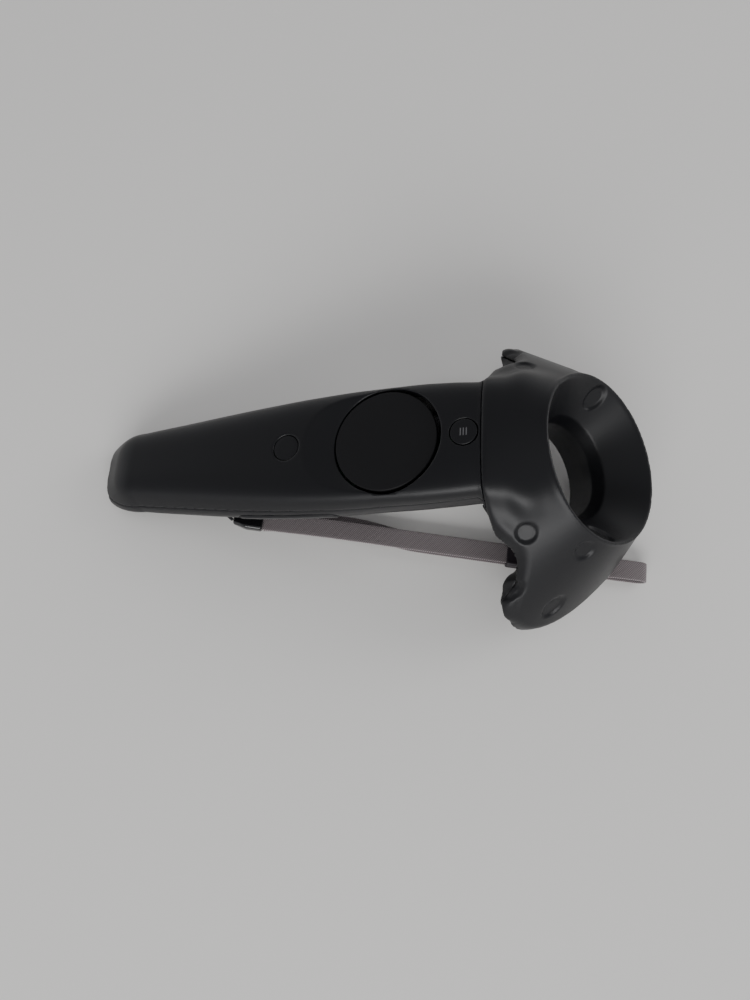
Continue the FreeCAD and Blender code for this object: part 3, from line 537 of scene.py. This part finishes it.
def material(name, colour, roughness, vary=0.1, grain=900.0, bump=0.02, metallic=0.0, coat=0.0,
             sheen=0.0, shine=0.5):
    """A finish whose colour, roughness and surface vary with fine noise."""
    made = bpy.data.materials.new(name)
    made.use_nodes = True
    nodes, links = made.node_tree.nodes, made.node_tree.links
    shader = nodes["Principled BSDF"]
    shader.inputs["Metallic"].default_value = metallic
    shader.inputs["Coat Weight"].default_value = coat
    shader.inputs["Specular IOR Level"].default_value = shine
    shader.inputs["Sheen Weight"].default_value = sheen
    where = nodes.new("ShaderNodeTexCoord")
    noise = nodes.new("ShaderNodeTexNoise")
    noise.inputs["Scale"].default_value = grain
    noise.inputs["Detail"].default_value = 3
    links.new(where.outputs["Object"], noise.inputs["Vector"])
    cloud = nodes.new("ShaderNodeTexNoise")
    cloud.inputs["Scale"].default_value = 22.0
    links.new(where.outputs["Object"], cloud.inputs["Vector"])
    ramp = nodes.new("ShaderNodeMix")
    ramp.data_type = "RGBA"
    ramp.inputs["A"].default_value = (*[c * (1 - vary) for c in colour], 1)
    ramp.inputs["B"].default_value = (*[c * (1 + vary) for c in colour], 1)
    links.new(noise.outputs["Fac"], ramp.inputs["Factor"])
    links.new(ramp.outputs["Result"], shader.inputs["Base Color"])
    rough = nodes.new("ShaderNodeMapRange")
    rough.inputs["To Min"].default_value = roughness - 0.03
    rough.inputs["To Max"].default_value = roughness + 0.03
    links.new(cloud.outputs["Fac"], rough.inputs["Value"])
    links.new(rough.outputs["Result"], shader.inputs["Roughness"])
    if bump:
        push = nodes.new("ShaderNodeBump")
        push.inputs["Strength"].default_value = bump
        push.inputs["Distance"].default_value = 0.0002
        links.new(noise.outputs["Fac"], push.inputs["Height"])
        links.new(push.outputs["Normal"], shader.inputs["Normal"])
    return made


SHELL = material("shell_black", (0.0045, 0.0047, 0.0060), 0.38, 0.15, 5200.0, 0.10, shine=0.30)
BACK = material("back_shell_black", (0.0045, 0.0046, 0.0055), 0.42, 0.15, 5200.0, 0.10,
                shine=0.35)
PAD = material("pad_charcoal", (0.0062, 0.0062, 0.0070), 0.60, 0.12, 9000.0, 0.12, shine=0.2)
BUTTON = material("button_black", (0.0045, 0.0047, 0.0060), 0.38, 0.12, 5200.0, 0.08, shine=0.3)
GLOSS = material("gloss_black", (0.006, 0.006, 0.007), 0.16, 0.1, 700.0, 0.03, coat=0.4)
SLIDER = material("slider_plum", (0.009, 0.005, 0.009), 0.45, 0.2, 2600.0, 0.15)
BARS = material("printed_grey", (0.10, 0.10, 0.105), 0.5, 0.1, 2600.0, 0.0)
CORD = material("cord_black", (0.010, 0.010, 0.012), 0.75, 0.4, 3500.0, 0.6, sheen=0.2)


def woven(name, colour, dark):
    """Fine webbing: cross ribs and lengthwise yarns, placed by the band's own length and width."""
    made = material(name, colour, 0.85, 0.1, 2500.0, 0.0, sheen=0.15)
    nodes, links = made.node_tree.nodes, made.node_tree.links
    shader = nodes["Principled BSDF"]
    place = nodes.new("ShaderNodeUVMap")
    place.uv_map = "band"
    split = nodes.new("ShaderNodeSeparateXYZ")
    links.new(place.outputs["UV"], split.inputs["Vector"])

    def wave(socket, per_unit, shift=None):
        scaled = nodes.new("ShaderNodeMath")
        scaled.operation = "MULTIPLY_ADD"
        scaled.inputs[1].default_value = per_unit * 2 * math.pi
        links.new(socket, scaled.inputs[0])
        if shift is not None:
            links.new(shift, scaled.inputs[2])
        out = nodes.new("ShaderNodeMath")
        out.operation = "SINE"
        links.new(scaled.outputs[0], out.inputs[0])
        return out.outputs[0]

    columns = wave(split.outputs["Y"], 1.0)
    half = nodes.new("ShaderNodeMath")
    half.operation = "SIGN"
    links.new(columns, half.inputs[0])
    offset = nodes.new("ShaderNodeMath")
    offset.operation = "MULTIPLY"
    offset.inputs[1].default_value = math.pi / 2
    links.new(half.outputs[0], offset.inputs[0])
    ribs = wave(split.outputs["X"], 1.15, offset.outputs[0])
    yarns = wave(split.outputs["Y"], 2.0)
    both = nodes.new("ShaderNodeMath")
    both.operation = "MULTIPLY_ADD"
    both.inputs[1].default_value = 0.6
    links.new(yarns, both.inputs[0])
    links.new(ribs, both.inputs[2])
    spread = nodes.new("ShaderNodeMapRange")
    spread.inputs["From Min"].default_value = -1.5
    spread.inputs["From Max"].default_value = 1.3
    links.new(both.outputs[0], spread.inputs["Value"])
    mix = nodes.new("ShaderNodeMix")
    mix.data_type = "RGBA"
    mix.inputs["A"].default_value = (*dark, 1)
    mix.inputs["B"].default_value = (*colour, 1)
    links.new(spread.outputs["Result"], mix.inputs["Factor"])
    links.new(mix.outputs["Result"], shader.inputs["Base Color"])
    push = nodes.new("ShaderNodeBump")
    push.inputs["Strength"].default_value = 0.6
    push.inputs["Distance"].default_value = 0.0002
    links.new(spread.outputs["Result"], push.inputs["Height"])
    links.new(push.outputs["Normal"], shader.inputs["Normal"])
    return made


WEBBING = woven("strap_webbing", (0.30, 0.265, 0.27), (0.030, 0.022, 0.025))

INSIDE = {
    "board_green": ((0.02, 0.11, 0.05), 0.4, 0.0, [
        "main_board", "touch_pad_board", "menu_board", "system_board", "socket_board",
        "head_board", "sensor_flex", "ribbon_cable"]),
    "steel_plain": ((0.55, 0.56, 0.58), 0.3, 1.0, [
        "trigger_pin", "trigger_spring", "chassis_screws", "radio_shield", "usb_socket",
        "lanyard_post"]),
    "frame_nylon": ((0.06, 0.062, 0.068), 0.55, 0.0, [
        "mid_frame", "touch_pad_bracket", "left_trigger_cheek", "right_trigger_cheek",
        "haptic_actuator"]),
    "switch_black": ((0.03, 0.03, 0.034), 0.45, 0.0, [
        "menu_switch", "system_switch", "touch_pad_switch", "trigger_switch",
        "left_grip_switch", "right_grip_switch", "trigger_sensor"]),
    "sensor_dark": ((0.03, 0.012, 0.02), 0.15, 0.0, [
        "front_tracking_sensors", "back_tracking_sensors"]),
    "battery_silver": ((0.6, 0.61, 0.63), 0.35, 1.0, ["battery"]),
    "magnet_nickel": ((0.6, 0.6, 0.62), 0.2, 1.0, ["trigger_magnet"]),
    "light_pipe_dark": ((0.02, 0.021, 0.023), 0.3, 0.0, ["status_light_pipe"]),
}
for name, (colour, roughness, metallic, members) in INSIDE.items():
    finish = material(name, colour, roughness, 0.12, 1500.0, 0.03, metallic)
    for member in members:
        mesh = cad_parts[member].data
        mesh.materials.clear()
        mesh.materials.append(finish)

# --- Camera, floor and light ----------------------------------------------------------------

camera = bpy.data.objects.new("camera", bpy.data.cameras.new("camera"))
camera.data.lens, camera.data.sensor_width = 27.0, 36.0
camera.data.dof.use_dof = False
right, up, ahead = (Vector((0.99834182, 0.05736214, -0.00481683)),
                    Vector((-0.05246404, 0.94113552, 0.33393332)),
                    Vector((-0.02368842, 0.33312689, -0.94258439)))
camera.matrix_world = Matrix((right, up, -ahead)).transposed().to_4x4()
camera.matrix_world.translation = Vector((0.00909, -0.11027, 0.30139))
bpy.context.scene.collection.objects.link(camera)
bpy.context.scene.camera = camera

FLOOR = material("table_pale", (0.83, 0.82, 0.795), 0.75, 0.006, 60.0, 0.0)
floor_mesh = bpy.data.meshes.new("table")
floor_mesh.from_pydata([(-4, -4, 0), (4, -4, 0), (4, 4, 0), (-4, 4, 0)], [], [(0, 1, 2, 3)])
floor_mesh.materials.append(FLOOR)
floor = bpy.data.objects.new("table", floor_mesh)
bpy.context.scene.collection.objects.link(floor)

world = bpy.data.worlds.new("room")
bpy.context.scene.world = world
world.use_nodes = True
world_nodes, world_links = world.node_tree.nodes, world.node_tree.links
sky_place = world_nodes.new("ShaderNodeTexCoord")
sky_split = world_nodes.new("ShaderNodeSeparateXYZ")
sky_ramp = world_nodes.new("ShaderNodeValToRGB")
world_links.new(sky_place.outputs["Generated"], sky_split.inputs["Vector"])
world_links.new(sky_split.outputs["Z"], sky_ramp.inputs["Fac"])
world_links.new(sky_ramp.outputs["Color"], world_nodes["Background"].inputs["Color"])
SKY_BLUE = 1.03
for place, shade in ((0.0, 0.55), (0.25, 0.42), (0.5, 0.22), (0.8, 0.16), (1.0, 0.30)):
    stop = (sky_ramp.color_ramp.elements.new(place) if 0 < place < 1
            else sky_ramp.color_ramp.elements[0 if place == 0 else -1])
    stop.color = (shade, shade, shade * SKY_BLUE, 1)
world_nodes["Background"].inputs["Strength"].default_value = 1.85


def softbox(name, place, target, wide, deep, power):
    """A rectangular lamp that faces a target."""
    lamp = bpy.data.lights.new(name, "AREA")
    lamp.shape, lamp.size, lamp.size_y, lamp.energy = "RECTANGLE", wide, deep, power
    thing = bpy.data.objects.new(name, lamp)
    thing.location = place
    thing.rotation_euler = (Vector(target) - Vector(place)).to_track_quat("-Z", "Y").to_euler()
    bpy.context.scene.collection.objects.link(thing)


softbox("window", (0.0, -2.0, 1.05), (0, 0, 0), 2.2, 0.9, 40)
softbox("side", (1.7, 0.5, 1.0), (0, 0, 0), 1.0, 0.8, 8)

# --- Strap and cord -------------------------------------------------------------------------

STRAP_ROUTE = [
    (13.6, 0, 1.5), (30.0, 2.4, 0.75), (50.0, 3.8, 0.7), (64.0, 2.0, 1.2), (73.0, 0.4, 1.5),
    (79.0, 0, 1.55), (95.0, 0, 1.55), (112.0, 0, 1.55), (128.0, 0, 1.55), (136.0, 0, 0.45),
    (153.0, 0, 0.45), (164.5, 0, 0.6), (171.0, 0, 0.95),
    (172.4, 0, 4.8), (166.0, 0, 5.4), (158.0, 0, 4.6), (151.5, 0, 1.35), (141.5, 0, 1.35),
    (132.0, 0, 4.55), (77.0, 0, 4.55), (70.0, 0, 4.6), (52.0, 0, 5.1), (32.0, 0, 4.6),
    (22.0, 0, 3.4), (13.6, 0, 3.1),
]
CORD_ROUTE = [
    (0.4, 1.1, 2.3), (-4.0, 4.0, 1.5), (-10.0, 8.5, 1.7), (-16.0, 12.7, 2.8), (-21.0, 15.0, 3.9),
    (-25.9, 15.3, 4.2), (-28.0, 15.0, 4.2), (-28.6, 13.3, 4.2), (-28.0, 11.6, 4.2),
    (-25.9, 11.3, 4.2), (-21.0, 11.6, 3.9), (-16.0, 10.4, 2.8), (-10.0, 6.5, 1.7),
    (-4.0, 1.9, 1.5), (0.4, -1.1, 2.3),
]


def spline_points(name, route, resolution):
    """Points along a smooth curve whose control points are the route, in the row frame."""
    curve = bpy.data.curves.new(name, "CURVE")
    curve.dimensions = "3D"
    curve.resolution_u = resolution
    spline = curve.splines.new("NURBS")
    places = strap_to_row(route)
    spline.points.add(len(places) - 1)
    for point, place in zip(spline.points, places):
        point.co = (*place, 1)
    spline.order_u = 3
    spline.use_endpoint_u = True
    thing = bpy.data.objects.new(name, curve)
    bpy.context.scene.collection.objects.link(thing)
    bpy.context.view_layer.update()
    graph = bpy.context.evaluated_depsgraph_get()
    line = bpy.data.meshes.new_from_object(thing.evaluated_get(graph))
    points = np.array([v.co for v in line.vertices], float).reshape(-1, 3)
    bpy.data.objects.remove(thing)
    bpy.data.meshes.remove(line)
    return points


def resampled(points, spacing):
    """Evenly spaced points along a line, and how far along it each one is."""
    steps = np.sqrt((np.diff(points, axis=0) ** 2).sum(1))
    along = np.concatenate([[0], np.cumsum(steps)])
    count = max(2, int(along[-1] / spacing) + 1)
    at = np.linspace(0, along[-1], count)
    return np.stack([np.interp(at, along, points[:, i]) for i in range(3)], 1), at


def swept(name, line, at, section, side_hint, finish, node):
    """A section of (across, up) points swept along a line, with its length and width as UVs."""
    ahead = np.gradient(line, axis=0)
    ahead /= np.linalg.norm(ahead, axis=1)[:, None]
    if side_hint is None:
        side = np.cross(ahead, (0, 0, 1.0))
    else:
        side = np.tile(side_hint, (len(line), 1))
    side = side - (side * ahead).sum(1)[:, None] * ahead
    side /= np.linalg.norm(side, axis=1)[:, None]
    up = np.cross(side, ahead)
    section = np.asarray(section, float) * MM
    n = len(section)
    points = (line[:, None] + section[None, :, :1] * side[:, None]
              + section[None, :, 1:] * up[:, None]).reshape(-1, 3)
    faces = [(k * n + i, (k + 1) * n + i, (k + 1) * n + (i + 1) % n, k * n + (i + 1) % n)
             for k in range(len(line) - 1) for i in range(n)]
    faces += [list(range(n)), list(range(len(points) - n, len(points)))[::-1]]
    thing = new_piece(name, points, faces, "controller", finish, [node])
    band = thing.data.uv_layers.new(name="band")
    owner = np.zeros(len(thing.data.loops), int)
    thing.data.loops.foreach_get("vertex_index", owner)
    uv = np.stack([at[owner // n] / MM, section[owner % n, 0] / MM], 1)
    band.data.foreach_set("uv", uv.ravel().astype(np.float32))
    return thing


def flat_section(half, thick, bulge=8):
    """A flat band's cross-section with rounded edges."""
    r = thick / 2
    out = []
    for side in (1, -1):
        for a in np.linspace(-math.pi / 2, math.pi / 2, bulge):
            out.append((side * (half - r + r * math.cos(a)), side * r * math.sin(a)))
        out += [(side * x, side * r) for x in np.linspace(half - r, -half + r, 8)[1:-1]]
    return out


STRAP_WIDE, STRAP_THICK, CORD_RADIUS = 8.0, 0.8, 0.65
strap_line, strap_at = resampled(spline_points("strap_line", STRAP_ROUTE, 24), 0.0008)
strap_side = (strap_to_row([(0, 1, 0)]) - strap_to_row([(0, 0, 0)]))[0] / MM
strap = swept("wrist_strap", strap_line, strap_at,
              flat_section(STRAP_WIDE / 2, STRAP_THICK), strap_side, WEBBING, "wrist_strap")
cord_line, cord_at = resampled(spline_points("cord_line", CORD_ROUTE, 24), 0.0005)
circle = [(CORD_RADIUS * math.cos(a), CORD_RADIUS * math.sin(a))
          for a in np.linspace(0, 2 * math.pi, 12, endpoint=False)]
cord = swept("lanyard_cord", cord_line, cord_at, circle, None, CORD, "lanyard_cord")

# --- Pieces ---------------------------------------------------------------------------------

carved("handle_top_cover", top_cover_field, (-2, -26, -12), (160, 26, 3), 0.5, "controller",
       SHELL)
carved("handle_bottom_shell", bottom_shell_field, (-2, -27, -35), (160, 27, -6), 0.6,
       "controller", SHELL)
carved("head_front_shell", front_shell_field, (154, -62, -76), (222, 62, 3), 0.68,
       "controller", SHELL)
carved("head_back_shell", back_shell_field, (146, -62, -84), (205, 62, -2), 0.8,
       "controller", BACK)
for side, name in ((1, "left_grip_button"), (-1, "right_grip_button")):
    y_low, y_high = sorted((side * 8.0, side * 25.0))
    carved(name, grip_button_field(side), (56, y_low, -20), (104, y_high, -10), 0.4, name,
           BUTTON)
carved("trigger", trigger_field, (128, -11, -55), (155, 11, -18), 0.5, "trigger", SHELL)
crimp = carved("strap_crimp", crimp_field, (-1, -6, -1), (15, 6, 6), 0.25, "controller", GLOSS,
               place=strap_to_row)
slider = carved("strap_slider", slider_field, (113, -6, -1), (124, 6, 7), 0.22, "strap_slider",
                SLIDER, place=strap_to_row)


def disc_profile(radius, low, high, edge):
    """The profile of a flat disc with a rounded upper edge."""
    arc = [(radius - edge + edge * math.cos(a), high - edge + edge * math.sin(a))
           for a in np.linspace(0, math.pi / 2, 6)]
    return [(radius, low), *arc, (radius * 0.6, high), (radius * 0.2, high)]


turned("touch_pad", disc_profile(PAD_RADIUS, PAD_FACE - 1.6, PAD_FACE, 0.45), PAD_AHEAD,
       "touch_pad", PAD, "touch_pad")
turned("menu_button", disc_profile(MENU_RADIUS, -3.4, -0.4, 0.4), MENU_AHEAD, "menu_button",
       BUTTON, "menu_button")
turned("system_button", disc_profile(SYSTEM_RADIUS, -3.4, -0.3, 0.3), SYSTEM_AHEAD,
       "system_button", BUTTON, "system_button")


def bar(ahead, half_wide, half_long, height):
    """A printed bar with round ends lying across the handle, as an outline of points."""
    out = []
    for side in (1, -1):
        for a in np.linspace(0, math.pi, 7):
            out.append((ahead + side * half_wide * math.cos(a),
                        side * (half_long + half_wide * math.sin(a)), height))
    return out


BAR_SPACING, BAR_HALF_WIDE, BAR_HALF_LONG = 1.05, 0.2, 1.25
bar_points, bar_faces = [], []
for k in (-1, 0, 1):
    top, bottom = (bar(MENU_AHEAD + BAR_SPACING * k, BAR_HALF_WIDE, BAR_HALF_LONG, height)
                   for height in (-0.38, -0.5))
    first, n = len(bar_points), len(top)
    bar_points += top + bottom
    bar_faces.append([first + i for i in range(n)])
    bar_faces += [(first + i, first + n + i, first + n + (i + 1) % n, first + (i + 1) % n)
                  for i in range(n)]
bars = new_piece("menu_bars", to_row(bar_points), bar_faces, "menu_button", BARS, smooth=False)
